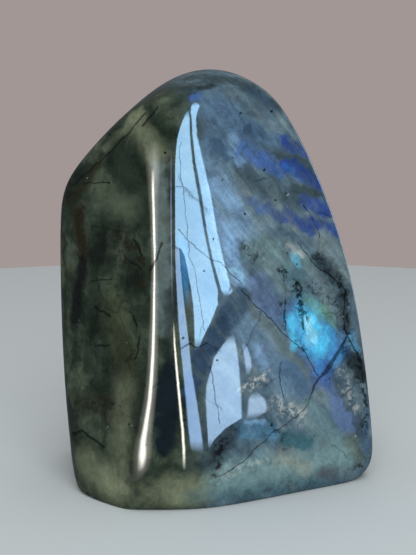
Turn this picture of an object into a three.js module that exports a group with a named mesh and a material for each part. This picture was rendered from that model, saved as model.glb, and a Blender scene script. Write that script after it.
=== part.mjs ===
// A freeform of labradorite: a thick piece of the stone, ground to soft faces, polished all round
// and cut flat underneath, so that it stands on its base with the flashing face to the front.
// Lengths are in millimetres, +Z is up, the front looks along -Y and +X is to its right.
// The origin is on the surface that the stone stands on, under the middle of the stone.

import * as THREE from 'three'
import { mergeVertices } from 'three/addons/utils/BufferGeometryUtils.js'

// Height above the base of the core, the point inside the stone that every face is measured from.
const CORE_HEIGHT = 41.5

// The stone's rough half sizes along X, Y and Z. They spread the surface's points evenly over it.
const HALF_WIDTH = 33
const HALF_DEPTH = 24
const HALF_HEIGHT = 45

// Cells along X, Y and Z of the block whose surface is moved out to the stone's.
const CELLS_WIDE = 24
const CELLS_DEEP = 20
const CELLS_HIGH = 36

// How far the rows of points crowd towards the foot. One is evenly spaced.
const FOOT_CROWDING = 1.3

// The ground faces. A face looks turn degrees round from the front, positive to the right, and tilt
// degrees up. It lies reach from the core. The larger its crisp, the tighter its edges are.
const FACES = [
  { name: 'front', turn: 0, tilt: 4.5, reach: 20.6, crisp: 26 },
  { name: 'front ridge', turn: -14, tilt: 1, reach: 22.9, crisp: 26 },
  { name: 'front foot', turn: 0, tilt: -12, reach: 31, crisp: 40 },
  { name: 'front crown', turn: -4, tilt: 50, reach: 45.6, crisp: 16 },
  { name: 'near edge', turn: -34, tilt: 4, reach: 25.2, crisp: 40 },
  { name: 'near foot', turn: -28, tilt: -14, reach: 33.6, crisp: 40 },
  { name: 'left', turn: -66, tilt: 4.5, reach: 24.3, crisp: 40 },
  { name: 'far left', turn: -112, tilt: 0, reach: 29.5, crisp: 18 },
  { name: 'left foot', turn: -104, tilt: -8, reach: 33.4, crisp: 16 },
  { name: 'left crown', turn: -95, tilt: 62, reach: 44.8, crisp: 14 },
  { name: 'shoulder', turn: -118, tilt: 42, reach: 37, crisp: 22 },
  { name: 'back', turn: 176, tilt: 6, reach: 22, crisp: 14 },
  { name: 'back left', turn: -145, tilt: 8, reach: 29, crisp: 12 },
  { name: 'back right', turn: 140, tilt: 6, reach: 34, crisp: 14 },
  { name: 'back crown', turn: 176, tilt: 48, reach: 43, crisp: 12 },
  { name: 'right', turn: 84, tilt: 7, reach: 31.2, crisp: 34 },
  { name: 'right middle', turn: 84, tilt: 16, reach: 30.4, crisp: 22 },
  { name: 'right upper', turn: 84, tilt: 28, reach: 32, crisp: 16 },
  { name: 'right foot', turn: 84, tilt: 0, reach: 35.7, crisp: 34 },
  { name: 'chipped corner', turn: 46, tilt: -38, reach: 54.4, crisp: 60 },
  { name: 'right crown', turn: 85, tilt: 50, reach: 44, crisp: 14 },
  { name: 'top', turn: 90, tilt: 84, reach: 51.2, crisp: 10 },
  { name: 'base', turn: 0, tilt: -90, reach: 42, crisp: 50 }
]

// Halvings that settle the distance to the surface, from a start well outside the stone.
const HALVINGS = 40
const OUTSIDE = 120

// The way a face looks, as a unit vector.
function outward({ turn, tilt }) {
  const round = THREE.MathUtils.degToRad(turn)
  const up = THREE.MathUtils.degToRad(tilt)
  return new THREE.Vector3(
    Math.sin(round) * Math.cos(up),
    -Math.cos(round) * Math.cos(up),
    Math.sin(up)
  )
}

// Whether a point, measured from the core, is outside the stone. The surface is where the sum of
// (depth towards each face / the face's reach) ^ crisp comes to one, which is the solid between all
// the faces with every edge rounded over.
function isOutside(point, planes) {
  const sum = planes.reduce((total, { normal, reach, crisp }) => {
    return total + (Math.max(normal.dot(point), 0) / reach) ** crisp
  }, 0)
  return sum > 1
}

// The distance from a place inside the stone to its surface, along a unit direction.
function distanceOut(start, direction, planes) {
  const point = new THREE.Vector3()
  let near = 0
  let far = OUTSIDE
  for (let halving = 0; halving < HALVINGS; halving += 1) {
    const middle = (near + far) / 2
    point.copy(start).addScaledVector(direction, middle)
    if (isOutside(point, planes)) {
      far = middle
    } else {
      near = middle
    }
  }
  return (near + far) / 2
}

// Where a point of the block, with x, y and z from -1 to 1, comes to lie on the stone, measured from
// the core. The lower half goes out level from the upright line under the core, so that the bottom
// row follows the edge of the flat base, and the upper half fans out from the core.
function placeOnStone(block, planes) {
  const low = Math.min(block.z, 0)
  const high = Math.max(block.z, 0)
  const start = new THREE.Vector3(0, 0, CORE_HEIGHT * ((1 + low) ** FOOT_CROWDING - 1))
  const way = new THREE.Vector3(block.x * HALF_WIDTH, block.y * HALF_DEPTH, high * HALF_HEIGHT)
  if (way.lengthSq() === 0) {
    return start
  }
  way.normalize()
  const underside = block.z === -1
  const share = underside ? Math.max(Math.abs(block.x), Math.abs(block.y)) : 1
  return start.addScaledVector(way, distanceOut(start, way, planes) * share)
}

// A closed block of shared points, 2 on each side and centred.
function sharedBlock() {
  const box = new THREE.BoxGeometry(2, 2, 2, CELLS_WIDE, CELLS_DEEP, CELLS_HIGH)
  box.deleteAttribute('normal')
  box.deleteAttribute('uv')
  return mergeVertices(box)
}

// The stone, stood with the middle of its width and depth over the origin.
function stone() {
  const planes = FACES.map((face) => ({ ...face, normal: outward(face) }))
  const surface = sharedBlock()
  const places = surface.getAttribute('position')
  const block = new THREE.Vector3()
  for (let i = 0; i < places.count; i += 1) {
    block.fromBufferAttribute(places, i)
    const place = placeOnStone(block, planes)
    places.setXYZ(i, place.x, place.y, place.z + CORE_HEIGHT)
  }
  surface.computeBoundingBox()
  const middle = surface.boundingBox.getCenter(new THREE.Vector3())
  surface.translate(-middle.x, -middle.y, 0)
  surface.computeVertexNormals()
  const polish = new THREE.MeshStandardMaterial({ color: 0x4c5c60, roughness: 0.15, metalness: 0 })
  const mesh = new THREE.Mesh(surface, polish)
  mesh.name = 'stone'
  return mesh
}

const labradorite = new THREE.Group()
labradorite.add(stone())

export default labradorite
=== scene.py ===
"""A polished freeform of labradorite on a pale floor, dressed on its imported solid."""

import math

import bpy
from mathutils import Matrix, Vector
from mathutils.interpolate import poly_3d_calc


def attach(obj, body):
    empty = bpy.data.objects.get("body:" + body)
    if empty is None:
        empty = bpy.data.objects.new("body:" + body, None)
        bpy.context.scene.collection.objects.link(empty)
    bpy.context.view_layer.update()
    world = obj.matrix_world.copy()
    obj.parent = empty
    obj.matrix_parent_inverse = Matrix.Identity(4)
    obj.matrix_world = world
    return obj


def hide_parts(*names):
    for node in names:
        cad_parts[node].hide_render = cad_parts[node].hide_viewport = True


bl_info = {
    "name": "Polished Labradorite",
    "version": (1, 0, 0),
    "blender": (4, 5, 0),
    "location": "3D View > Sidebar > Labradorite",
    "description": "Makes a standing freeform of polished labradorite and the stage it is seen on",
    "category": "Object",
}

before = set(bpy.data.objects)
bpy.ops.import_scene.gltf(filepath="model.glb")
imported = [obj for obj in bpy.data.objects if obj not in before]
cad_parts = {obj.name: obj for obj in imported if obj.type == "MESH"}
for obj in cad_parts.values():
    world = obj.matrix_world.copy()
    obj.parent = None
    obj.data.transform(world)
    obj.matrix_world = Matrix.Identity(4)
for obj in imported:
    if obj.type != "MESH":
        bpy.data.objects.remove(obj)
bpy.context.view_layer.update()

MM = 0.001
STONE_NAME = "labradorite_freeform"

# The camera stands to the left of the stone's front and a little above its middle. Angles are in
# degrees and lengths in millimetres, and the picture's width and height are in pixels.
IMAGE_WIDTH = 416
IMAGE_HEIGHT = 555
CAMERA_TURN = -27.0
CAMERA_PITCH = 10.0
CAMERA_DISTANCE = 238.0
CAMERA_AIM = Vector((-0.8, -1.9, 44.0))
CAMERA_LENS = 70.0
CAMERA_SENSOR = 36.0
CAMERA_NEAREST = 10.0
FLOOR_SIDES = 256

# Cells of the block whose surface is moved out to the stone's. Each point's distance out is found by
# halvings of a length that is well outside the stone, and kept as an attribute. A share of a face's
# reach is held down, so that its power stays finite. The block's own height runs from -1 to 1, and
# points below UNDERSIDE are on its bottom.
CELLS = (116, 96, 176)
HALVINGS = 24
OUTSIDE = 120.0
STEEPEST_SHARE = 2.0
DISTANCE = "distance"
UNDERSIDE = -0.9999

# Pits keep this many millimetres above the base, and edges over this angle stay sharp.
PITS_FROM = 2.0
SHARP_EDGE = 0.6

# The ground faces: a face looks turn degrees round from the front, positive to the right, and tilt
# degrees up, and lies reach millimetres from the core. The larger its crisp, the tighter its edges.
GROUND_FACES = {
    "Front": (0, 4.5, 20.6, 26),
    "Front Ridge": (-14, 1, 22.9, 26),
    "Front Foot": (0, -12, 31.0, 40),
    "Front Crown": (-4, 50, 45.6, 16),
    "Near Edge": (-34, 4, 25.2, 40),
    "Near Foot": (-28, -14, 33.6, 40),
    "Left": (-66, 4.5, 24.3, 40),
    "Far Left": (-112, 0, 29.5, 18),
    "Left Foot": (-104, -8, 33.4, 16),
    "Left Crown": (-95, 62, 44.8, 14),
    "Shoulder": (-118, 42, 37.0, 22),
    "Back": (176, 6, 22.0, 14),
    "Back Left": (-145, 8, 29.0, 12),
    "Back Right": (140, 6, 34.0, 14),
    "Back Crown": (176, 48, 43.0, 12),
    "Right": (84, 7, 31.2, 34),
    "Right Middle": (84, 16, 30.4, 22),
    "Right Upper": (84, 28, 32.0, 16),
    "Right Foot": (84, 0, 35.7, 34),
    "Chipped Corner": (46, -38, 54.4, 60),
    "Right Crown": (85, 50, 44.0, 14),
    "Top": (90, 84, 51.2, 10),
    "Base": (0, -90, 42.0, 50),
}

# Sockets of a Mix node that blends colours: the factor, the two colours and the result.
FACTOR, FIRST, SECOND, BLEND = 0, 6, 7, 2

# The stone's colours, and where each is seen.
COLOURS = {
    "deep": ("#151d16", "Darkest clouds of the green side"),
    "ink": ("#101c22", "Darkest clouds of the blue-grey side"),
    "bottle": ("#28342a", "Body colour of the green side"),
    "sage": ("#4e5a4a", "Pale clouds of the green side"),
    "moss": ("#324248", "Grey of the crown and between the bands"),
    "lichen": ("#757f68", "Pale grey-green of the left foot"),
    "slate": ("#3a4e5c", "Dark fibres of the blue-grey side"),
    "steel": ("#526a78", "Body colour of the blue-grey side"),
    "mist": ("#74888a", "Pale fibres of the blue-grey side"),
    "dusk": ("#476480", "Bluer fibres high on the front"),
    "haze": ("#7ea6cc", "Pale blue haze beside the window"),
    "veil": ("#5c6d6c", "Pale veil between the edges"),
    "umber": ("#221d0e", "Rusty stains along the cracks"),
    "bark": ("#5a6e74", "Brown-grey of the arc"),
    "night": ("#2d435a", "Dimmest blue of the flash"),
    "royal": ("#1c3a84", "Deep blue of the flash"),
    "blue": ("#3d5f9c", "Middle blue of the flash"),
    "azure": ("#418cce", "Wide light blue of the flash"),
    "violet": ("#587098", "Violet haze beside the flash"),
    "cyan": ("#54c8f4", "Brightest part of the flash"),
    "ice": ("#9cdcf2", "Palest part of the flash"),
    "gold": ("#62927c", "Green-gold rim of the flash"),
    "lagoon": ("#4f86a8", "Blue chip at the rim"),
    "petrol": ("#38606a", "Dark blue-green patches"),
    "sea": ("#709092", "Pale blue-green of the foot"),
    "olive": ("#545a3c", "Olive grains"),
    "plum": ("#45404f", "Purple-brown spots"),
    "sand": ("#98937c", "Sandy grains"),
    # The white of the flakes is also the white of the pale flecks, which are partly painted glints.
    "chalk_and_glint": ("#c4ccc9", "White flakes"),
    "crack": ("#0c0f10", "Open cracks"),
}

# The colours that a pattern goes through as its value rises.
TINTS = {
    "clouds": ((0.37, "deep"), (0.5, "bottle"), (0.65, "sage")),
    "fibres": ((0.3, "slate"), (0.5, "steel"), (0.7, "mist")),
    "zones": ((0.48, "royal"), (0.6, "azure"), (0.7, "cyan")),
}

# How the places in the stone are moved about before a pattern reads them: the size of the waves and
# how far they reach, in millimetres.
BENDS = (34.0, 4.0)
WAVES = (6.0, 2.0)
RIPPLES = (1.5, 0.9)
JAGS = (3.0, 0.9)
RAGS = (1.0, 0.6)

# Patches of colour in the stone, each laid along the surface between two points of the picture; a few of them
# are painted highlights and painted reflections. They give half the patch's width in millimetres, how soft
# its edge is, its colour and how strong it is.
PATCHES = {
    "dark crown": ((150, 104), (236, 78), 1.3, 0.9, "deep", 0.55),
    "dark crown left": ((176, 104), (196, 90), 1.6, 0.9, "ink", 0.5),
    "crown": ((190, 78), (250, 86), 1.8, 0.9, "moss", 0.9),
    "crown right": ((250, 88), (278, 108), 1.3, 0.9, "moss", 0.8),
    "green spot on the crown": ((200, 88), (214, 84), 0.9, 0.7, "deep", 0.85),
    "dusky field": ((214, 108), (250, 138), 3.4, 0.9, "dusk", 0.7),
    "dusky field low": ((210, 140), (234, 158), 1.6, 0.9, "dusk", 0.6),
    "pale shoulder": ((134, 118), (156, 152), 2.0, 0.9, "lichen", 0.65),
    "pale shoulder edge": ((104, 148), (140, 114), 1.0, 0.9, "lichen", 0.45),
    "dark diagonal": ((114, 144), (147, 206), 1.9, 0.9, "bottle", 0.7),
    "pale cloud": ((96, 188), (128, 208), 2.6, 0.9, "sage", 0.75),
    "dark shoulder": ((70, 200), (98, 164), 1.3, 0.9, "umber", 0.6),
    "brown stain high": ((80, 212), (82, 252), 1.6, 0.9, "umber", 0.85),
    "dark flank": ((82, 262), (74, 318), 1.4, 0.7, "crack", 0.9),
    "dark edge": ((64, 235), (66, 330), 0.7, 0.9, "deep", 0.6),
    "olive middle": ((114, 306), (126, 368), 3.0, 0.9, "olive", 0.25),
    "dark low cloud": ((80, 402), (118, 408), 1.9, 0.9, "umber", 0.5),
    "sage low": ((124, 392), (120, 462), 2.8, 0.9, "lichen", 0.45),
    "sage foot": ((86, 462), (112, 490), 3.4, 0.9, "lichen", 0.6),
    "sage foot right": ((116, 486), (204, 492), 3.2, 0.9, "lichen", 0.9),
    "pale veil": ((161, 166), (163, 328), 1.5, 0.8, "veil", 0.9),
    "dark beside the veil": ((168, 292), (167, 374), 1.0, 0.9, "ink", 0.65),
    "dark between the edges": ((168, 372), (165, 448), 2.3, 0.6, "ink", 1.0),
    "pale tongue": ((228, 92), (276, 132), 1.3, 0.9, "mist", 0.25),
    "dark tongue": ((238, 100), (252, 114), 0.9, 0.8, "slate", 0.8),
    "pale field": ((204, 152), (256, 232), 1.6, 0.9, "haze", 0.3),
    "shade under the tongue": ((224, 140), (262, 194), 1.5, 0.8, "slate", 0.35),
    "shade between the bands": ((240, 174), (296, 200), 1.7, 0.8, "moss", 0.5),
    "shade at the rim": ((296, 188), (326, 198), 1.3, 0.7, "moss", 0.85),
    "shade over the band": ((276, 150), (308, 168), 0.9, 0.7, "moss", 0.75),
    "haze high": ((212, 186), (234, 206), 1.6, 0.9, "haze", 0.6),
    "haze low": ((217, 216), (242, 236), 1.6, 0.9, "haze", 0.7),
    "grey field": ((256, 246), (300, 262), 3.2, 0.9, "sea", 0.4),
    "pale teal": ((226, 238), (241, 284), 1.9, 0.9, "haze", 0.95),
    "ice spot": ((236, 270), (241, 276), 1.0, 0.9, "ice", 0.4),
    "teal field": ((288, 272), (302, 302), 2.0, 0.8, "petrol", 0.5),
    "sand fleck": ((292, 247), (299, 254), 0.7, 0.9, "chalk_and_glint", 0.45),
    "cyan fleck": ((293, 258), (297, 266), 0.8, 0.9, "cyan", 0.35),
    "slate haze": ((256, 288), (274, 314), 2.6, 0.8, "violet", 0.6),
    "dark right": ((318, 256), (346, 294), 1.5, 0.9, "ink", 0.7),
    "dark right edge": ((341, 296), (347, 332), 1.1, 0.8, "ink", 0.75),
    "inside of the arc": ((246, 322), (286, 384), 3.0, 0.9, "haze", 0.25),
    "pale inside": ((258, 350), (264, 368), 1.3, 0.9, "haze", 0.6),
    "blue inlet": ((288, 368), (306, 388), 2.2, 0.6, "dusk", 0.8),
    "right dark": ((346, 354), (362, 376), 1.8, 0.8, "ink", 0.85),
    "right dark low": ((342, 382), (362, 432), 1.8, 0.8, "slate", 0.7),
    "sea chip": ((351, 338), (357, 350), 1.0, 0.5, "lagoon", 0.8),
    "violet wedge": ((327, 384), (350, 430), 1.5, 0.6, "violet", 0.85),
    "streaky field": ((308, 412), (340, 448), 2.6, 0.9, "sea", 0.45),
    "blue edge": ((367, 402), (369, 450), 0.8, 0.7, "dusk", 0.8),
    "teal foot": ((224, 478), (344, 456), 3.4, 0.9, "sea", 0.85),
    "teal foot low": ((196, 496), (330, 482), 1.8, 0.9, "petrol", 0.45),
    # The teal pool is partly the stone's own teal and partly a painted reflection of the window's sill.
    "teal pool with painted reflection": ((244, 430), (268, 434), 2.2, 0.5, "lagoon", 0.5),
    # A painted highlight: a pale streak painted along the top of the pool.
    "painted highlight on the pool": ((244, 423), (262, 424), 0.6, 0.8, "haze", 0.6),
    "petrol patch": ((284, 438), (306, 442), 1.7, 0.6, "petrol", 0.95),
    "dark under the window": ((232, 430), (212, 462), 1.8, 0.8, "ink", 0.55),
    "sand field": ((280, 456), (304, 468), 1.8, 0.9, "sand", 0.3),
    "plum spot": ((322, 472), (333, 474), 1.4, 0.8, "plum", 0.5),
    "olive corner": ((350, 440), (360, 458), 1.5, 0.9, "olive", 0.45),
    "arc": ((242, 294), (264, 322), 1.2, 0.6, "bark", 0.85),
    "arc middle": ((264, 322), (286, 347), 1.1, 0.6, "bark", 0.85),
    "arc low": ((286, 347), (314, 382), 1.1, 0.6, "bark", 0.85),
}

# Patches that the stone's own crumbs break up: rust, dark ore and pale flakes along the cracks.
MOTTLES = {
    "brown stain": ((120, 238), (130, 262), 1.9, 0.9, "umber", 1.0),
    "brown stain by the edge": ((138, 248), (142, 282), 1.1, 0.9, "umber", 0.9),
    "brown stain on the flank": ((80, 214), (84, 250), 1.4, 0.9, "umber", 0.9),
    "ore on the left": ((92, 322), (110, 330), 1.0, 0.9, "deep", 0.8),
    "ore low on the left": ((84, 404), (116, 408), 1.3, 0.9, "deep", 0.9),
    "ore in the middle": ((246, 246), (262, 260), 1.5, 0.9, "ink", 0.75),
    "ore over the middle": ((226, 236), (244, 240), 0.6, 0.9, "ink", 0.3),
    "ore beside the flash": ((282, 272), (300, 296), 1.5, 0.9, "ink", 0.95),
    "ore left of the flash": ((284, 298), (285, 328), 0.8, 0.9, "ink", 0.8),
    "ore under the flash": ((294, 342), (308, 348), 0.6, 0.9, "ink", 0.8),
    "ore over the flash": ((312, 286), (338, 306), 1.3, 0.9, "ink", 0.8),
    "ore in the flash": ((300, 300), (303, 322), 1.0, 0.9, "ink", 1.0),
    "ore at the right": ((316, 254), (346, 294), 1.6, 0.9, "crack", 0.85),
    "ore down the rim": ((344, 300), (348, 350), 1.2, 0.9, "crack", 0.9),
    "ore below the rim": ((350, 350), (364, 380), 1.6, 0.9, "crack", 0.95),
    "ore on the rim": ((364, 384), (366, 430), 1.0, 0.9, "ink", 0.9),
    "ore under the window": ((234, 426), (214, 446), 1.6, 0.9, "ink", 0.7),
    "ore under the window low": ((222, 444), (214, 476), 1.6, 0.9, "crack", 0.9),
    "ore beside the pool": ((270, 426), (286, 446), 0.9, 0.9, "ink", 0.7),
    "rust at the corner": ((350, 468), (366, 463), 0.9, 0.8, "umber", 0.7),
    "rust on the foot": ((240, 494), (300, 486), 0.8, 0.9, "umber", 0.45),
    "flakes": ((276, 402), (300, 416), 1.5, 0.9, "chalk_and_glint", 0.6),
    "flakes at the left": ((242, 388), (266, 376), 1.1, 0.9, "chalk_and_glint", 0.8),
    "flakes at the right": ((342, 372), (356, 410), 1.2, 0.9, "chalk_and_glint", 0.38),
    "flakes on the foot": ((220, 474), (262, 462), 1.0, 0.9, "chalk_and_glint", 0.35),
}

# The blue flash shows where the layers inside the stone lie square to the light: in slanting bands high on
# the front, and in one wide patch below. Both are laid down in the same way as the patches, so the flash is a
# painted reflection in the colour.
BANDS = {
    "crest": ((252, 90), (272, 106), 1.0, 0.9, "night", 0.7),
    "first band left": ((246, 130), (256, 137), 0.9, 0.7, "night", 0.8),
    "first band middle": ((258, 132), (280, 143), 1.4, 0.7, "dusk", 0.8),
    "first band": ((284, 141), (306, 155), 1.2, 0.7, "royal", 0.85),
    "small band": ((213, 144), (224, 156), 1.0, 0.8, "night", 0.7),
    "second band start": ((231, 143), (242, 160), 1.3, 0.9, "haze", 0.45),
    "second band left": ((242, 150), (262, 159), 1.5, 0.8, "blue", 0.7),
    "second band middle": ((266, 160), (282, 170), 1.6, 0.7, "blue", 0.8),
    "second band": ((286, 164), (320, 185), 1.3, 0.6, "royal", 0.95),
    "second band's light": ((286, 164), (300, 178), 0.6, 0.9, "azure", 0.2),
    "third band left": ((250, 199), (262, 210), 1.1, 0.8, "blue", 0.7),
    "third band start": ((268, 206), (280, 216), 0.9, 0.8, "royal", 0.6),
    "third band": ((286, 212), (312, 228), 1.3, 0.7, "royal", 0.75),
    "third band right": ((314, 220), (338, 233), 1.2, 0.7, "royal", 0.85),
    "fourth band": ((304, 200), (330, 213), 1.2, 0.7, "royal", 0.85),
    "haze under the bands": ((270, 232), (310, 240), 1.2, 0.9, "night", 0.5),
    "tip": ((191, 101), (199, 96), 0.7, 0.8, "blue", 0.7),
    "dark band": ((239, 301), (214, 340), 2.9, 0.5, "night", 0.85),
    "dark band middle": ((222, 326), (203, 360), 2.3, 0.5, "night", 0.95),
    "dark band foot": ((206, 350), (190, 392), 1.8, 0.6, "night", 1.0),
}
GLOWS = {
    "wide flash": ((302, 320), (328, 350), 4.0, 0.8, "azure", 0.95),
    "flash left": ((289, 304), (292, 330), 1.4, 0.9, "dusk", 0.7),
    "flash tail": ((312, 350), (322, 376), 2.4, 0.8, "blue", 0.9),
    "flash tail's light": ((312, 350), (318, 368), 1.2, 0.9, "azure", 0.8),
    "flash core": ((307, 317), (318, 345), 2.6, 0.9, "cyan", 1.0),
    "flash lobe": ((291, 320), (294, 344), 1.1, 0.9, "cyan", 0.8),
    "flash teal": ((300, 296), (308, 304), 1.1, 0.9, "lagoon", 0.6),
    "flash gold": ((309, 299), (320, 314), 1.1, 0.9, "gold", 0.75),
    "flash gold right": ((326, 310), (334, 326), 1.0, 0.9, "gold", 0.7),
    "flash heart": ((307, 320), (312, 336), 1.1, 0.9, "ice", 0.75),
}

# Cracks and veins, each followed by points of the picture, with half its width in millimetres.
CRACKS = {
    "long fracture": (0.28, (347, 338), (331, 366), (320, 378), (312, 392)),
    "long fracture's root": (0.36, (346, 339), (334, 358), (322, 374)),
    "long fracture's foot": (0.11, (312, 392), (304, 409), (287, 424), (269, 435), (241, 463), (218, 478)),
    "right fracture": (0.15, (298, 243), (312, 262), (325, 271), (345, 290), (343, 314), (347, 336)),
    "edge fracture": (0.18, (347, 336), (356, 350), (360, 362), (363, 384)),
    "fine fracture": (0.1, (303, 204), (314, 222), (320, 238)),
    "window hairline": (0.07, (180, 142), (182, 176), (186, 222), (190, 256), (197, 279), (205, 330)),
    "curl": (0.08, (166, 190), (175, 186), (185, 187), (194, 198)),
    "branch": (0.09, (179, 229), (188, 240), (195, 247), (207, 256), (222, 263), (242, 285)),
    "cross crack": (0.16, (182, 348), (189, 344), (199, 346), (207, 343)),
    "low hairline": (0.1, (211, 366), (214, 390), (220, 424)),
    "arc's edge": (0.11, (240, 289), (262, 312), (286, 336), (304, 352), (318, 376)),
    "inlet's edge": (0.12, (282, 362), (279, 380), (284, 398)),
    "vein in the flash": (0.3, (300, 302), (303, 313), (303, 328)),
    "vein left of the flash": (0.18, (286, 300), (284, 314), (286, 330)),
    "vein over the flash": (0.25, (295, 282), (303, 288), (298, 298)),
    "left crack a": (0.16, (92, 282), (100, 280), (112, 279)),
    "left crack b": (0.26, (96, 307), (104, 312), (110, 316)),
    "left crack c": (0.16, (124, 255), (132, 262), (142, 270)),
    "left crack d": (0.24, (140, 335), (138, 346), (135, 358)),
    "left crack e": (0.34, (72, 434), (82, 431), (92, 438), (104, 447)),
    "left crack f": (0.14, (84, 184), (98, 183), (110, 184)),
    "left crack g": (0.24, (142, 126), (150, 116), (158, 108)),
    "left crack h": (0.22, (150, 270), (156, 258), (162, 244)),
    "left crack i": (0.2, (94, 346), (102, 344), (110, 345)),
    "left crack j": (0.26, (134, 240), (139, 248), (142, 256)),
    "left crack k": (0.2, (130, 312), (134, 318), (136, 324)),
    "shoulder line": (0.16, (74, 186), (96, 164), (112, 150)),
    "shoulder line's top": (0.2, (112, 150), (128, 134), (146, 112)),
}

# Half the thickness of a patch and of a crack into the stone, how soft a crack's sides are and how
# strong it is.
PATCH_DEPTH = 5.0
CRACK_DEPTH = 2.5
CRACK_SOFTNESS = 0.7
CRACK_STRENGTH = 0.75

# Hairlines run between random cells of this spacing. They start to show, and are full, at these
# distances from the edge of a cell.
HAIRLINE_SPACING = 14.0
HAIRLINE_START = 0.2
HAIRLINE_FULL = 0.08
HAIRLINE_STRENGTH = 0.4

# Flecks: the spacing of the random cells that hold them and their radius, in millimetres, and the
# share of the cells that have one. A fleck is solid up to a share of its radius.
DARK_FLECKS = (2.4, 0.34, 0.12)
# The pale flecks are white flakes of the stone and painted glints of its small pits.
PALE_FLECKS_AND_GLINTS = (2.6, 0.24, 0.14)
PALE_FLECK_AND_GLINT_STRENGTH = 0.6
FLECK_HEART = 0.4

# Feldspar's index of refraction, the height of its fibres in millimetres, and how much of it shows.
FELDSPAR_IOR = 1.56
FIBRE_RELIEF = 0.05
FIBRE_EFFECT = 0.25

# A patch's three directions, each divided by its radius that way.
PATCH_AXES = ("Along", "Across", "Into")

# The fibres fall this much to the right and the blue layers that much, and the green side gives way
# to the grey one in between these two points of the picture.
GRAIN_FALL = math.radians(52)
LAYER_FALL = math.radians(26)
GREEN_SIDE_END = (178, 300)
GREY_SIDE_START = (225, 300)

# Stretched patterns: how far they fall to the right, their sizes along X, Y and Z in millimetres, and
# the detail and the roughness of their noise.
FIBRES = (GRAIN_FALL, (26.0, 12.0, 4.4), 6.0, 0.62)
THREADS = (GRAIN_FALL, (8.0, 5.0, 1.0), 4.0, 0.65)
LAYERS = (LAYER_FALL, (24.0, 30.0, 6.0), 5.0, 0.5)
VEINS = (0.0, (1.8, 5.0, 7.0), 5.0, 0.65)

# Soft lights: turn and tilt in degrees, then distance, width and height in millimetres, radiance and
# colour. They light the stone and the floor, and the polish doesn't show them.
SOFT_LIGHTS = {
    "softbox": (-20, 35, 700, 600, 600, 3.5, "#ffffff"),
    "ceiling": (0, 90, 700, 700, 700, 1.6, "#ffffff"),
}

# A light whose back rises more than this is turned by another way up than the scene's. A shaped
# light's edges fade over this share of its width at least.
STEEP = 0.98
LEAST_FADE = 0.002

# Soft windows that only the polish of the right side and of the back shows. Each stands upright, and
# gives its turn in degrees, its distance in millimetres, its radiance, its colour and how soft its
# edges are. Its rows run from a left to a right end, which are points across and up in millimetres.
FAR_WINDOWS = {
    "window_right": (100, 160, 4.0, "#cfe0ff", 0.76, (
        ((-23, 147), (23, 147)), ((-23, 90), (23, 90)), ((-23, 54), (23, 54)), ((-23, -3), (23, -3)))),
    "window_back": (168, 160, 4.0, "#cfe0ff", 0.76, (
        ((-23, 70), (23, 70)), ((-23, 40), (23, 40)), ((-23, 20), (23, 20)), ((-23, -10), (23, -10)))),
}

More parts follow.
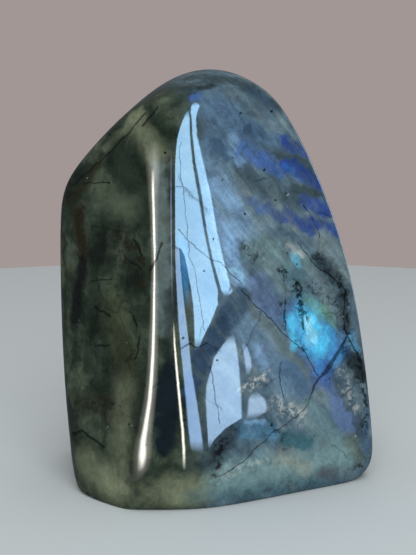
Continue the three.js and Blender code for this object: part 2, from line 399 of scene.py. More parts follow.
# Lights that only show in the polish, as a window with bars does. They are given in the same way, but
# their rows say where the polish shows them in the picture: how far down a row is, and how far across
# its ends are. No two lie in one plane, because a ray would only meet one of the two there.
MIRRORED_LIGHTS = {
    "window_top": (5, 30, 16.5, "#a4d6ff", 0.1, (
        (102, 194, 196), (106, 191, 200), (112, 190.5, 197.5), (118, 191.5, 196), (135, 192.5, 197),
        (160, 195, 203), (195, 201.5, 211), (230, 206.5, 217), (250, 210.5, 221.5), (265, 214, 225),
        (290, 221, 233), (296, 224, 230))),
    "window_middle": (5, 30.2, 16.5, "#a4d6ff", 0.05, (
        (110, 187.5, 189), (118, 184, 189.5), (128, 180, 190), (140, 177, 190.5), (155, 175.5, 192),
        (170, 175, 194), (200, 175, 199.5), (230, 175, 204.5), (246, 175, 207.6), (249, 181, 208.2),
        (256, 184.5, 209.5), (265, 186.5, 211.5), (279, 189, 215), (290, 191, 218), (305, 193, 218),
        (322, 194, 211), (338, 194.5, 203), (350, 194.5, 198))),
    "window_left": (5, 30.4, 12.5, "#a8ceff", 0.2, (
        (246, 175, 178), (250, 175, 179.5), (270, 175.5, 181), (290, 176.5, 183), (320, 178, 186.5),
        (344, 180, 189.5), (370, 182.5, 192), (400, 185.5, 197), (419, 187, 200), (440, 189, 203),
        (452, 191, 204))),
    "window_low": (5, 30.6, 13.0, "#aed2f8", 0.08, (
        (334, 232, 234), (345, 222.5, 236.5), (358, 213.5, 238.5), (370, 210.5, 240), (385, 206, 241),
        (400, 205, 242), (418, 206, 242.5), (428, 207, 226), (440, 208, 214), (448, 208, 210))),
    "window_sliver": (5, 30.8, 10.0, "#b0d0ff", 0.3, (
        (342, 242, 244), (348, 242.5, 248), (358, 244, 251.5), (366, 245, 252), (376, 246, 249))),
    "window_foot": (5, 31, 11.0, "#b8d4f4", 0.25, (
        (392, 252, 258), (399, 248, 266), (406, 247, 268), (412, 246.5, 267), (419, 246, 254))),
    "window_azure": (5, 29, 9.0, "#2a94e0", 0.7, (
        (230, 176, 183), (248, 177.5, 189), (266, 178.5, 190.5), (284, 181, 190.5), (310, 185, 191))),
    "pale_line": (5, 29.8, 9.0, "#b0b0ff", 0.9, (
        (146, 170.4, 172), (200, 170.2, 171.8), (250, 170.6, 172), (314, 171.8, 173.2))),
    "bright_line": (-76, 38, 24.0, "#fffdf2", 0.9, (
        (168, 151, 154.6), (190, 151.4, 154.6), (225, 152.4, 155.4), (250, 153.2, 156), (262, 153.8, 155.4),
        (270, 153.4, 155.4), (320, 152.2, 155.4), (350, 151.2, 155), (380, 149, 153.6), (400, 147.2, 152),
        (420, 143.8, 149.2), (440, 139.4, 146.8), (455, 137.4, 147), (470, 137, 145))),
    "bright_line_glow": (-76, 39, 5.0, "#fffdf2", 1.0, (
        (140, 143, 160), (165, 144.5, 161), (190, 147, 159.5), (225, 149.6, 158.6), (262, 151, 158),
        (320, 149, 159), (380, 145.6, 158.4), (420, 139.4, 154.6), (440, 134.4, 152.6), (455, 131.6, 152.4),
        (474, 130, 152))),
    "second_bright_line": (5, 29.6, 24.0, "#fffdf2", 0.7, (
        (322, 172.6, 174.6), (345, 173.6, 175.8), (370, 175.4, 178.2), (400, 178.2, 181.2), (430, 181, 184.2),
        (450, 182.2, 185.6), (470, 182.6, 186))),
}


def linear(hex_colour):
    """An sRGB hex colour as linear red, green, blue and alpha."""
    channels = [int(hex_colour[i:i + 2], 16) / 255 for i in (1, 3, 5)]
    return tuple(c / 12.92 if c <= 0.04045 else ((c + 0.055) / 1.055) ** 2.4 for c in channels) + (1.0,)


def add(tree, kind, inputs=None, **settings):
    """Adds a node, sets its settings, and links its inputs or gives them their values."""
    node = tree.nodes.new(kind)
    for name, value in settings.items():
        setattr(node, name, value)
    for key, value in (inputs or {}).items():
        if isinstance(value, bpy.types.NodeSocket):
            tree.links.new(value, node.inputs[key])
        else:
            node.inputs[key].default_value = value
    return node


def outward(turn, tilt):
    """The way a face looks, as a unit vector."""
    a, e = math.radians(turn), math.radians(tilt)
    return Vector((math.sin(a) * math.cos(e), -math.cos(a) * math.cos(e), math.sin(e)))


def camera_place():
    """Where the camera stands, in millimetres."""
    return CAMERA_AIM + outward(CAMERA_TURN, CAMERA_PITCH) * CAMERA_DISTANCE


def camera_axes():
    """The camera's right, up and backward directions."""
    back = outward(CAMERA_TURN, CAMERA_PITCH)
    right = Vector((0, 0, 1)).cross(back).normalized()
    return right, back.cross(right), back


def sight(pixel):
    """The direction in which the camera sees a point of the 416 x 555 picture."""
    right, up, back = camera_axes()
    focal = CAMERA_LENS / CAMERA_SENSOR * IMAGE_HEIGHT
    across = (pixel[0] - IMAGE_WIDTH / 2) / focal
    above = (IMAGE_HEIGHT / 2 - pixel[1]) / focal
    return (right * across + up * above - back).normalized()


def socket_in(tree, name, kind, default):
    """Gives a node group a named input with its default."""
    socket = tree.interface.new_socket(name, in_out="INPUT", socket_type=kind)
    socket.default_value = default


# The stone's shape.

def ground_face_term():
    """The node group for (depth towards a face / the face's reach) ^ crisp."""
    tree = bpy.data.node_groups.new("Ground face term", "GeometryNodeTree")
    socket_in(tree, "Point", "NodeSocketVector", (0, 0, 0))
    socket_in(tree, "Outward", "NodeSocketVector", (0, 0, 1))
    socket_in(tree, "Reach", "NodeSocketFloat", 30.0)
    socket_in(tree, "Crisp", "NodeSocketFloat", 20.0)
    tree.interface.new_socket("Term", in_out="OUTPUT", socket_type="NodeSocketFloat")
    given = add(tree, "NodeGroupInput").outputs
    depth = add(tree, "ShaderNodeVectorMath", {0: given["Point"], 1: given["Outward"]},
                operation="DOT_PRODUCT").outputs["Value"]
    share = add(tree, "ShaderNodeMath", {0: depth, 1: given["Reach"]}, operation="DIVIDE")
    held = add(tree, "ShaderNodeClamp", {"Value": share.outputs[0], "Min": 0.0, "Max": STEEPEST_SHARE})
    term = add(tree, "ShaderNodeMath", {0: held.outputs[0], 1: given["Crisp"]}, operation="POWER")
    add(tree, "NodeGroupOutput", {"Term": term.outputs[0]})
    return tree


def stone_inputs(tree, settings):
    """Adds the named inputs of the stone's tree. Their lengths are in millimetres."""
    tree.interface.new_socket("Geometry", in_out="INPUT", socket_type="NodeSocketGeometry")
    socket_in(tree, "Core Height", "NodeSocketFloat", settings.core_height / MM)
    socket_in(tree, "Half Size", "NodeSocketVector", tuple(v / MM for v in settings.half_size))
    socket_in(tree, "Foot Crowding", "NodeSocketFloat", settings.foot_crowding)
    for name, (_, _, reach, _) in GROUND_FACES.items():
        socket_in(tree, name + " Reach", "NodeSocketFloat", reach)
    socket_in(tree, "Pit Spacing", "NodeSocketFloat", settings.pit_spacing / MM)
    socket_in(tree, "Pit Radius", "NodeSocketFloat", settings.pit_radius / MM)
    socket_in(tree, "Pit Depth", "NodeSocketFloat", settings.pit_depth / MM)
    socket_in(tree, "Pit Share", "NodeSocketFloat", settings.pit_share)
    socket_in(tree, "Pit Seed", "NodeSocketInt", settings.pit_seed)
    tree.interface.new_socket("Polish", in_out="INPUT", socket_type="NodeSocketMaterial")


def start_and_way(tree, given, axes):
    """Where a point of the block starts from, and the way it goes out. The lower half goes out level
    from the upright line under the core, and the upper half fans out from the core."""
    x, y, z = axes
    low = add(tree, "ShaderNodeClamp", {"Value": z, "Min": -1.0, "Max": 0.0}).outputs[0]
    high = add(tree, "ShaderNodeClamp", {"Value": z, "Min": 0.0, "Max": 1.0}).outputs[0]
    above_foot = add(tree, "ShaderNodeMath", {0: low, 1: 1.0}, operation="ADD").outputs[0]
    crowded = add(tree, "ShaderNodeMath", {0: above_foot, 1: given["Foot Crowding"]},
                  operation="POWER").outputs[0]
    below_core = add(tree, "ShaderNodeMath", {0: crowded, 1: 1.0}, operation="SUBTRACT").outputs[0]
    start_height = add(tree, "ShaderNodeMath", {0: below_core, 1: given["Core Height"]}, operation="MULTIPLY")
    start = add(tree, "ShaderNodeCombineXYZ", {2: start_height.outputs[0]}).outputs[0]
    flat_way = add(tree, "ShaderNodeCombineXYZ", {0: x, 1: y, 2: high}).outputs[0]
    wide_way = add(tree, "ShaderNodeVectorMath", {0: flat_way, 1: given["Half Size"]}, operation="MULTIPLY")
    way = add(tree, "ShaderNodeVectorMath", {0: wide_way.outputs[0]}, operation="NORMALIZE").outputs[0]
    return start, way


def measured(tree, given, block, start, way):
    """The block with each point's distance out to the stone, and that distance. Each round of the
    repeat tries a step half as long as the last, and takes it if it stays inside."""
    first = add(tree, "GeometryNodeStoreNamedAttribute", {"Geometry": block, "Name": DISTANCE, "Value": 0.0},
                data_type="FLOAT", domain="POINT")
    repeat_in = add(tree, "GeometryNodeRepeatInput")
    repeat_out = add(tree, "GeometryNodeRepeatOutput")
    repeat_in.pair_with_output(repeat_out)
    repeat_out.repeat_items.new("FLOAT", "Step")
    repeat_in.inputs["Iterations"].default_value = HALVINGS
    tree.links.new(first.outputs["Geometry"], repeat_in.inputs["Geometry"])
    repeat_in.inputs["Step"].default_value = OUTSIDE / 2
    step = repeat_in.outputs["Step"]
    reached = add(tree, "GeometryNodeInputNamedAttribute", {"Name": DISTANCE},
                  data_type="FLOAT").outputs["Attribute"]
    tried = add(tree, "ShaderNodeMath", {0: reached, 1: step}, operation="ADD").outputs[0]
    gone = add(tree, "ShaderNodeVectorMath", {0: way, "Scale": tried}, operation="SCALE").outputs[0]
    point = add(tree, "ShaderNodeVectorMath", {0: start, 1: gone}, operation="ADD").outputs[0]
    term_tree = ground_face_term()
    total = None
    for name, (turn, tilt, _, crisp) in GROUND_FACES.items():
        term = add(tree, "GeometryNodeGroup", {
            "Point": point, "Outward": outward(turn, tilt), "Reach": given[name + " Reach"],
            "Crisp": crisp}, node_tree=term_tree).outputs[0]
        total = term if total is None else add(
            tree, "ShaderNodeMath", {0: total, 1: term}, operation="ADD").outputs[0]
    inside = add(tree, "FunctionNodeCompare", {0: total, 1: 1.0}, data_type="FLOAT",
                 operation="LESS_EQUAL").outputs[0]
    kept = add(tree, "GeometryNodeSwitch", {"Switch": inside, "False": reached, "True": tried},
               input_type="FLOAT").outputs[0]
    store = add(tree, "GeometryNodeStoreNamedAttribute", {"Geometry": repeat_in.outputs["Geometry"],
                                                          "Name": DISTANCE, "Value": kept},
                data_type="FLOAT", domain="POINT")
    tree.links.new(store.outputs["Geometry"], repeat_out.inputs["Geometry"])
    half_step = add(tree, "ShaderNodeMath", {0: step, 1: 0.5}, operation="MULTIPLY")
    tree.links.new(half_step.outputs[0], repeat_out.inputs["Step"])
    return repeat_out.outputs["Geometry"], reached


def placed(tree, given, block, reached, start, way, axes):
    """The block with its points on the stone, in metres, and the stone's middle over the origin. The
    points of the underside draw in to its middle, so that the base is flat and closed."""
    x, y, z = axes
    underside = add(tree, "FunctionNodeCompare", {0: z, 1: UNDERSIDE}, data_type="FLOAT",
                    operation="LESS_THAN").outputs[0]
    across = add(tree, "ShaderNodeMath", {0: x}, operation="ABSOLUTE").outputs[0]
    along = add(tree, "ShaderNodeMath", {0: y}, operation="ABSOLUTE").outputs[0]
    rim_share = add(tree, "ShaderNodeMath", {0: across, 1: along}, operation="MAXIMUM").outputs[0]
    share = add(tree, "GeometryNodeSwitch", {"Switch": underside, "False": 1.0, "True": rim_share},
                input_type="FLOAT").outputs[0]
    far = add(tree, "ShaderNodeMath", {0: reached, 1: share}, operation="MULTIPLY").outputs[0]
    out = add(tree, "ShaderNodeVectorMath", {0: way, "Scale": far}, operation="SCALE").outputs[0]
    from_core = add(tree, "ShaderNodeVectorMath", {0: start, 1: out}, operation="ADD").outputs[0]
    core = add(tree, "ShaderNodeCombineXYZ", {2: given["Core Height"]}).outputs[0]
    from_floor = add(tree, "ShaderNodeVectorMath", {0: from_core, 1: core}, operation="ADD").outputs[0]
    in_metres = add(tree, "ShaderNodeVectorMath", {0: from_floor, "Scale": MM}, operation="SCALE").outputs[0]
    ground = add(tree, "GeometryNodeSetPosition", {"Geometry": block, "Position": in_metres}).outputs[0]
    box = add(tree, "GeometryNodeBoundBox", {"Geometry": ground}).outputs
    corners = add(tree, "ShaderNodeVectorMath", {0: box["Min"], 1: box["Max"]}, operation="ADD").outputs[0]
    to_middle = add(tree, "ShaderNodeVectorMath", {0: corners, 1: (-0.5, -0.5, 0.0)},
                    operation="MULTIPLY").outputs[0]
    return add(tree, "GeometryNodeTransform", {"Geometry": ground, "Translation": to_middle}).outputs[0]


def pitted(tree, given, stone):
    """The stone with the pits that its polish left, one in some of the cells of a random pattern."""
    place = add(tree, "GeometryNodeInputPosition").outputs[0]
    height = add(tree, "ShaderNodeSeparateXYZ", {0: place}).outputs[2]
    spaced = add(tree, "ShaderNodeMath", {0: 1 / MM, 1: given["Pit Spacing"]}, operation="DIVIDE").outputs[0]
    seeded = add(tree, "ShaderNodeVectorMath", {0: place, 1: given["Pit Seed"]}, operation="ADD").outputs[0]
    cells = add(tree, "ShaderNodeTexVoronoi", {"Vector": seeded, "Scale": spaced})
    pick = add(tree, "ShaderNodeSeparateXYZ", {0: cells.outputs["Color"]}).outputs[0]
    picked = add(tree, "FunctionNodeCompare", {0: pick, 1: given["Pit Share"]}, data_type="FLOAT",
                 operation="LESS_THAN").outputs[0]
    away = add(tree, "ShaderNodeMath", {0: cells.outputs["Distance"], 1: given["Pit Spacing"]},
               operation="MULTIPLY").outputs[0]
    bowl = add(tree, "ShaderNodeMapRange", {"Value": away, "From Min": given["Pit Radius"], "From Max": 0.0,
                                            "To Min": 0.0, "To Max": given["Pit Depth"]},
               interpolation_type="SMOOTHSTEP").outputs[0]
    sunk = add(tree, "ShaderNodeMath", {0: bowl, 1: -MM}, operation="MULTIPLY").outputs[0]
    normal = add(tree, "GeometryNodeInputNormal").outputs[0]
    dip = add(tree, "ShaderNodeVectorMath", {0: normal, "Scale": sunk}, operation="SCALE").outputs[0]
    clear = add(tree, "FunctionNodeCompare", {0: height, 1: PITS_FROM * MM}, data_type="FLOAT",
                operation="GREATER_THAN").outputs[0]
    where = add(tree, "FunctionNodeBooleanMath", {0: picked, 1: clear}, operation="AND").outputs[0]
    return add(tree, "GeometryNodeSetPosition", {"Geometry": stone, "Selection": where,
                                                 "Offset": dip}).outputs[0]


def shaded(tree, stone):
    """The stone, smooth all over and sharp round its base, without the distances."""
    bare = add(tree, "GeometryNodeRemoveAttribute", {"Geometry": stone, "Name": DISTANCE}).outputs[0]
    angle = add(tree, "GeometryNodeInputMeshEdgeAngle").outputs["Unsigned Angle"]
    sharp = add(tree, "FunctionNodeCompare", {0: angle, 1: SHARP_EDGE}, data_type="FLOAT",
                operation="GREATER_THAN").outputs[0]
    smooth = add(tree, "GeometryNodeSetShadeSmooth", {"Geometry": bare, "Shade Smooth": True},
                 domain="FACE").outputs[0]
    return add(tree, "GeometryNodeSetShadeSmooth", {"Geometry": smooth, "Selection": sharp,
                                                    "Shade Smooth": False}, domain="EDGE").outputs[0]


def stone_tree(settings):
    """The tree that moves a block's surface out to where the ground faces' terms add up to one."""
    tree = bpy.data.node_groups.new("Ground stone", "GeometryNodeTree")
    stone_inputs(tree, settings)
    tree.interface.new_socket("Geometry", in_out="OUTPUT", socket_type="NodeSocketGeometry")
    given = add(tree, "NodeGroupInput").outputs
    points = {"Vertices " + axis: cells + 1 for axis, cells in zip("XYZ", CELLS)}
    block = add(tree, "GeometryNodeMeshCube", {"Size": (2, 2, 2), **points}).outputs["Mesh"]
    place = add(tree, "GeometryNodeInputPosition").outputs[0]
    axes = add(tree, "ShaderNodeSeparateXYZ", {0: place}).outputs
    start, way = start_and_way(tree, given, axes)
    block, reached = measured(tree, given, block, start, way)
    stone = placed(tree, given, block, reached, start, way, axes)
    stone = shaded(tree, pitted(tree, given, stone))
    real = add(tree, "GeometryNodeRealizeInstances", {"Geometry": stone}).outputs[0]
    polished = add(tree, "GeometryNodeSetMaterial", {"Geometry": real, "Material": given["Polish"]})
    add(tree, "NodeGroupOutput", {"Geometry": polished.outputs[0]})
    return tree


def grown_piece(name, tree, values):
    """The plain mesh object that a tree makes, with the modifier's inputs set by their identifiers."""
    seed = bpy.data.objects.new(name + "_block", bpy.data.meshes.new(name + "_block"))
    bpy.context.scene.collection.objects.link(seed)
    modifier = seed.modifiers.new("Ground", "NODES")
    modifier.node_group = tree
    for item in tree.interface.items_tree:
        if item.in_out == "INPUT" and item.name in values:
            modifier[item.identifier] = values[item.name]
    bpy.context.view_layer.update()
    evaluated = seed.evaluated_get(bpy.context.evaluated_depsgraph_get())
    mesh = bpy.data.meshes.new_from_object(evaluated)
    mesh.name = name
    piece = bpy.data.objects.new(name, mesh)
    bpy.context.scene.collection.objects.link(piece)
    bpy.data.objects.remove(seed)
    return piece


# The stone's finish.

def on_stone(stone, pixel):
    """The place on the stone that a picture point shows, in millimetres, and the way it faces."""
    hit, place, _, face = stone.ray_cast(camera_place() * MM, sight(pixel))
    if not hit:
        raise RuntimeError(f"the picture point {pixel} is beside the stone")
    corners = [stone.data.vertices[index] for index in stone.data.polygons[face].vertices]
    weights = poly_3d_calc([corner.co for corner in corners], place)
    normal = sum((corner.normal * weight for corner, weight in zip(corners, weights)), Vector())
    return place / MM, normal.normalized()


def patch_group():
    """The node group for a soft band with round ends: one at its heart and nothing outside it."""
    tree = bpy.data.node_groups.new("Patch in the stone", "ShaderNodeTree")
    socket_in(tree, "Place", "NodeSocketVector", (0, 0, 0))
    socket_in(tree, "Centre", "NodeSocketVector", (0, 0, 0))
    for axis in PATCH_AXES:
        socket_in(tree, axis, "NodeSocketVector", (1, 0, 0))
    socket_in(tree, "Half Run", "NodeSocketFloat", 1.0)
    socket_in(tree, "Core", "NodeSocketFloat", 0.5)
    socket_in(tree, "Strength", "NodeSocketFloat", 1.0)
    tree.interface.new_socket("Mask", in_out="OUTPUT", socket_type="NodeSocketFloat")
    given = add(tree, "NodeGroupInput").outputs
    offset = add(tree, "ShaderNodeVectorMath", {0: given["Place"], 1: given["Centre"]},
                 operation="SUBTRACT").outputs[0]
    along, across, into = (
        add(tree, "ShaderNodeVectorMath", {0: offset, 1: given[axis]},
            operation="DOT_PRODUCT").outputs["Value"]
        for axis in PATCH_AXES)
    run = add(tree, "ShaderNodeMath", {0: along}, operation="ABSOLUTE").outputs[0]
    past = add(tree, "ShaderNodeMath", {0: run, 1: given["Half Run"]}, operation="SUBTRACT").outputs[0]
    past_end = add(tree, "ShaderNodeMath", {0: past, 1: 0.0}, operation="MAXIMUM").outputs[0]
    from_line = add(tree, "ShaderNodeCombineXYZ", {0: past_end, 1: across, 2: into}).outputs[0]
    away = add(tree, "ShaderNodeVectorMath", {0: from_line}, operation="LENGTH").outputs["Value"]
    mask = add(tree, "ShaderNodeMapRange", {"Value": away, "From Min": 1.0, "From Max": given["Core"],
                                            "To Min": 0.0, "To Max": given["Strength"]},
               interpolation_type="SMOOTHSTEP").outputs[0]
    add(tree, "NodeGroupOutput", {"Mask": mask})
    return tree


def patch(tree, group, stone, place, ends, half_width, depth, softness, strength):
    """The mask of a band laid on the stone between two picture points. It is half as strong at the
    half width from the line between them, and fades in and out around that by its softness."""
    (first, first_normal), (last, last_normal) = (on_stone(stone, end) for end in ends)
    normal = (first_normal + last_normal).normalized()
    run = last - first
    reach = half_width / (1 - softness / 2)
    along = (run - normal * run.dot(normal)).normalized()
    axes = (along / reach, normal.cross(along) / reach, normal / depth)
    return add(tree, "ShaderNodeGroup", {
        "Place": place, "Centre": (first + last) / 2, **dict(zip(PATCH_AXES, axes)),
        "Half Run": run.length / 2 / reach, "Core": 1 - softness, "Strength": strength,
    }, node_tree=group).outputs["Mask"]


def patched(tree, group, stone, place, patches, colour, shade, broken_by=None):
    """The colour with each of the patches laid over it, whole or broken up by another mask."""
    for *ends, half_width, softness, name, strength in patches.values():
        mask = patch(tree, group, stone, place, ends, half_width, PATCH_DEPTH, softness, strength)
        if broken_by is not None:
            mask = add(tree, "ShaderNodeMath", {0: mask, 1: broken_by}, operation="MULTIPLY").outputs[0]
        colour = add(tree, "ShaderNodeMix", {FACTOR: mask, FIRST: colour, SECOND: shade[name]},
                     data_type="RGBA").outputs[BLEND]
    return colour


def shifted(tree, place, size, reach):
    """The place moved about by up to reach, in waves of the given size, both in millimetres."""
    noise = add(tree, "ShaderNodeTexNoise", {"Vector": place, "Scale": 1 / size, "Detail": 4.0})
    centred = add(tree, "ShaderNodeVectorMath", {0: noise.outputs["Color"], 1: (0.5, 0.5, 0.5)},
                  operation="SUBTRACT").outputs[0]
    move = add(tree, "ShaderNodeVectorMath", {0: centred, "Scale": 2 * reach}, operation="SCALE").outputs[0]
    return add(tree, "ShaderNodeVectorMath", {0: place, 1: move}, operation="ADD").outputs[0]


def flecks(tree, place, spacing, radius, share):
    """The mask of small spots, in a share of the cells of a random pattern."""
    cells = add(tree, "ShaderNodeTexVoronoi", {"Vector": place, "Scale": 1 / spacing})
    pick = add(tree, "ShaderNodeSeparateColor", {0: cells.outputs["Color"]}).outputs[0]
    picked = add(tree, "ShaderNodeMath", {0: pick, 1: share}, operation="LESS_THAN").outputs[0]
    return add(tree, "ShaderNodeMapRange", {"Value": cells.outputs["Distance"], "From Min": radius / spacing,
                                            "From Max": radius / spacing * FLECK_HEART, "To Min": 0.0,
                                            "To Max": picked}, interpolation_type="SMOOTHSTEP").outputs[0]


def streaks(tree, place, fall, sizes, detail, roughness):
    """A pattern stretched to these sizes along X, Y and Z, in millimetres, and falling to the right."""
    grain = add(tree, "ShaderNodeMapping", {"Vector": place, "Rotation": (0, fall, 0), "Scale": sizes},
                vector_type="TEXTURE").outputs[0]
    return add(tree, "ShaderNodeTexNoise", {"Vector": grain, "Scale": 1.0, "Detail": detail,
                                            "Roughness": roughness}).outputs["Fac"]


def grey_side(tree, stone, waved):
    """One on the blue-grey side and nothing on the green side. The front edge parts them, raggedly."""
    across = add(tree, "ShaderNodeSeparateXYZ", {0: waved}).outputs[0]
    edge, full = (on_stone(stone, pixel)[0].x for pixel in (GREEN_SIDE_END, GREY_SIDE_START))
    return add(tree, "ShaderNodeMapRange", {"Value": across, "From Min": edge, "From Max": full},
               interpolation_type="SMOOTHSTEP").outputs[0]


def stone_colour(tree, waved, fibres, side, shade):
    """The colour all round. The green side has clouds about a centimetre across, and the blue-grey side has
    fibres that are centimetres long and millimetres thick. In some zones, the back and the right show the
    painted blue flash of layers, which lie in slanting bands like those of the front."""
    clouds = add(tree, "ShaderNodeTexNoise", {"Vector": waved, "Scale": 1 / 10, "Detail": 7.0,
                                              "Roughness": 0.62}).outputs["Fac"]
    zones = add(tree, "ShaderNodeTexNoise", {"Vector": waved, "Scale": 1 / 30, "Detail": 1.0}).outputs["Fac"]
    tinted = {}
    for name, pattern in (("clouds", clouds), ("fibres", fibres), ("zones", zones)):
        ramp = add(tree, "ShaderNodeValToRGB", {0: pattern})
        tints = ramp.color_ramp.elements
        (low, first), (middle, second), (high, third) = TINTS[name]
        tints[0].position, tints[0].color = low, shade[first]
        tints[1].position, tints[1].color = high, shade[third]
        tints.new(middle).color = shade[second]
        tinted[name] = ramp.outputs[0]
    colour = add(tree, "ShaderNodeMix", {FACTOR: side, FIRST: tinted["clouds"], SECOND: tinted["fibres"]},
                 data_type="RGBA").outputs[BLEND]
    layers = streaks(tree, waved, *LAYERS)
    depth = add(tree, "ShaderNodeSeparateXYZ", {0: waved}).outputs[1]
    hidden_side = add(tree, "ShaderNodeMapRange", {"Value": depth, "From Min": -2.0, "From Max": 8.0,
                                                   "To Min": 0.0, "To Max": side}).outputs[0]
    in_zone = add(tree, "ShaderNodeMapRange", {"Value": zones, "From Min": 0.42, "From Max": 0.56,
                                               "To Min": 0.0, "To Max": hidden_side}).outputs[0]
    lit_layers = add(tree, "ShaderNodeMapRange", {"Value": layers, "From Min": 0.42, "From Max": 0.6,
                                                  "To Min": 0.0, "To Max": in_zone},
                     interpolation_type="SMOOTHSTEP").outputs[0]
    return add(tree, "ShaderNodeMix", {FACTOR: lit_layers, FIRST: colour, SECOND: tinted["zones"]},
               data_type="RGBA").outputs[BLEND]


def with_patches(tree, group, stone, waved, jagged, threads, colour, shade):
    """The colour with what the picture shows on the front and the left laid over it, from the widest
    to the smallest. The threads along the fibres break up the bands, upright veins break up the glow
    below them, and crumbs break up the ore and the flakes."""
    threaded = add(tree, "ShaderNodeMapRange", {"Value": threads, "From Min": 0.36, "From Max": 0.56,
                                                "To Min": 0.4, "To Max": 1.0}).outputs[0]
    veins = streaks(tree, waved, *VEINS)
    veined = add(tree, "ShaderNodeMapRange", {"Value": veins, "From Min": 0.34, "From Max": 0.52,
                                              "To Min": 0.4, "To Max": 1.0}).outputs[0]
    crumbs = add(tree, "ShaderNodeTexNoise", {"Vector": jagged, "Scale": 1 / 1.4, "Detail": 5.0,
                                              "Roughness": 0.7}).outputs["Fac"]
    crumbled = add(tree, "ShaderNodeMapRange", {"Value": crumbs, "From Min": 0.46, "From Max": 0.6},
                   interpolation_type="SMOOTHSTEP").outputs[0]
    for patches, broken_by in ((PATCHES, None), (BANDS, threaded), (GLOWS, veined), (MOTTLES, crumbled)):
        colour = patched(tree, group, stone, waved, patches, colour, shade, broken_by)
    return colour


def with_grain(tree, place, waved, threads, side, colour):
    """The colour with the threads in the shade of the blue-grey side, more so higher up, and with a
    fine mottling all over, so that no patch is one flat colour."""
    height = add(tree, "ShaderNodeSeparateXYZ", {0: place}).outputs[2]
    threaded_side = add(tree, "ShaderNodeMapRange", {"Value": height, "From Min": 25.0, "From Max": 55.0,
                                                     "To Min": 0.08, "To Max": 0.26}).outputs[0]
    spread = add(tree, "ShaderNodeMath", {0: threaded_side, 1: side}, operation="MULTIPLY").outputs[0]
    streaked = add(tree, "ShaderNodeMapRange", {"Value": threads, "From Min": 0.3, "From Max": 0.7,
                                                "To Min": -1.0, "To Max": 1.0}).outputs[0]
    gain = add(tree, "ShaderNodeMath", {0: streaked, 1: spread, 2: 1.0}, operation="MULTIPLY_ADD").outputs[0]
    specks = add(tree, "ShaderNodeTexNoise", {"Vector": waved, "Scale": 1 / 3.2, "Detail": 8.0,
                                              "Roughness": 0.82}).outputs["Fac"]
    mottled = add(tree, "ShaderNodeMapRange", {"Value": specks, "From Min": 0.34, "From Max": 0.66,
                                               "To Min": 0.62, "To Max": 1.4}).outputs[0]
    shading = add(tree, "ShaderNodeMath", {0: gain, 1: mottled}, operation="MULTIPLY").outputs[0]
    return add(tree, "ShaderNodeVectorMath", {0: colour, "Scale": shading}, operation="SCALE").outputs[0]


def crack_mask(tree, group, stone, place, jagged):
    """The cracks that the picture shows, and hairlines all over, which are the edges of large random
    cells, left out where a slow noise is low."""
    gate = add(tree, "ShaderNodeTexNoise", {"Vector": place, "Scale": 1 / 9, "Detail": 1.0}).outputs["Fac"]
    shown = add(tree, "ShaderNodeMapRange", {"Value": gate, "From Min": 0.54, "From Max": 0.6,
                                             "To Min": 0.0, "To Max": HAIRLINE_STRENGTH}).outputs[0]
    edges = add(tree, "ShaderNodeTexVoronoi", {"Vector": jagged, "Scale": 1 / HAIRLINE_SPACING},
                feature="DISTANCE_TO_EDGE").outputs["Distance"]
    cracks = add(tree, "ShaderNodeMapRange", {
        "Value": edges, "From Min": HAIRLINE_START / HAIRLINE_SPACING,
        "From Max": HAIRLINE_FULL / HAIRLINE_SPACING, "To Min": 0.0, "To Max": shown}).outputs[0]
    for half_width, *points in CRACKS.values():
        for ends in zip(points, points[1:]):
            run = patch(tree, group, stone, jagged, ends, half_width, CRACK_DEPTH, CRACK_SOFTNESS,
                        CRACK_STRENGTH)
            cracks = add(tree, "ShaderNodeMath", {0: cracks, 1: run}, operation="MAXIMUM").outputs[0]
    return cracks


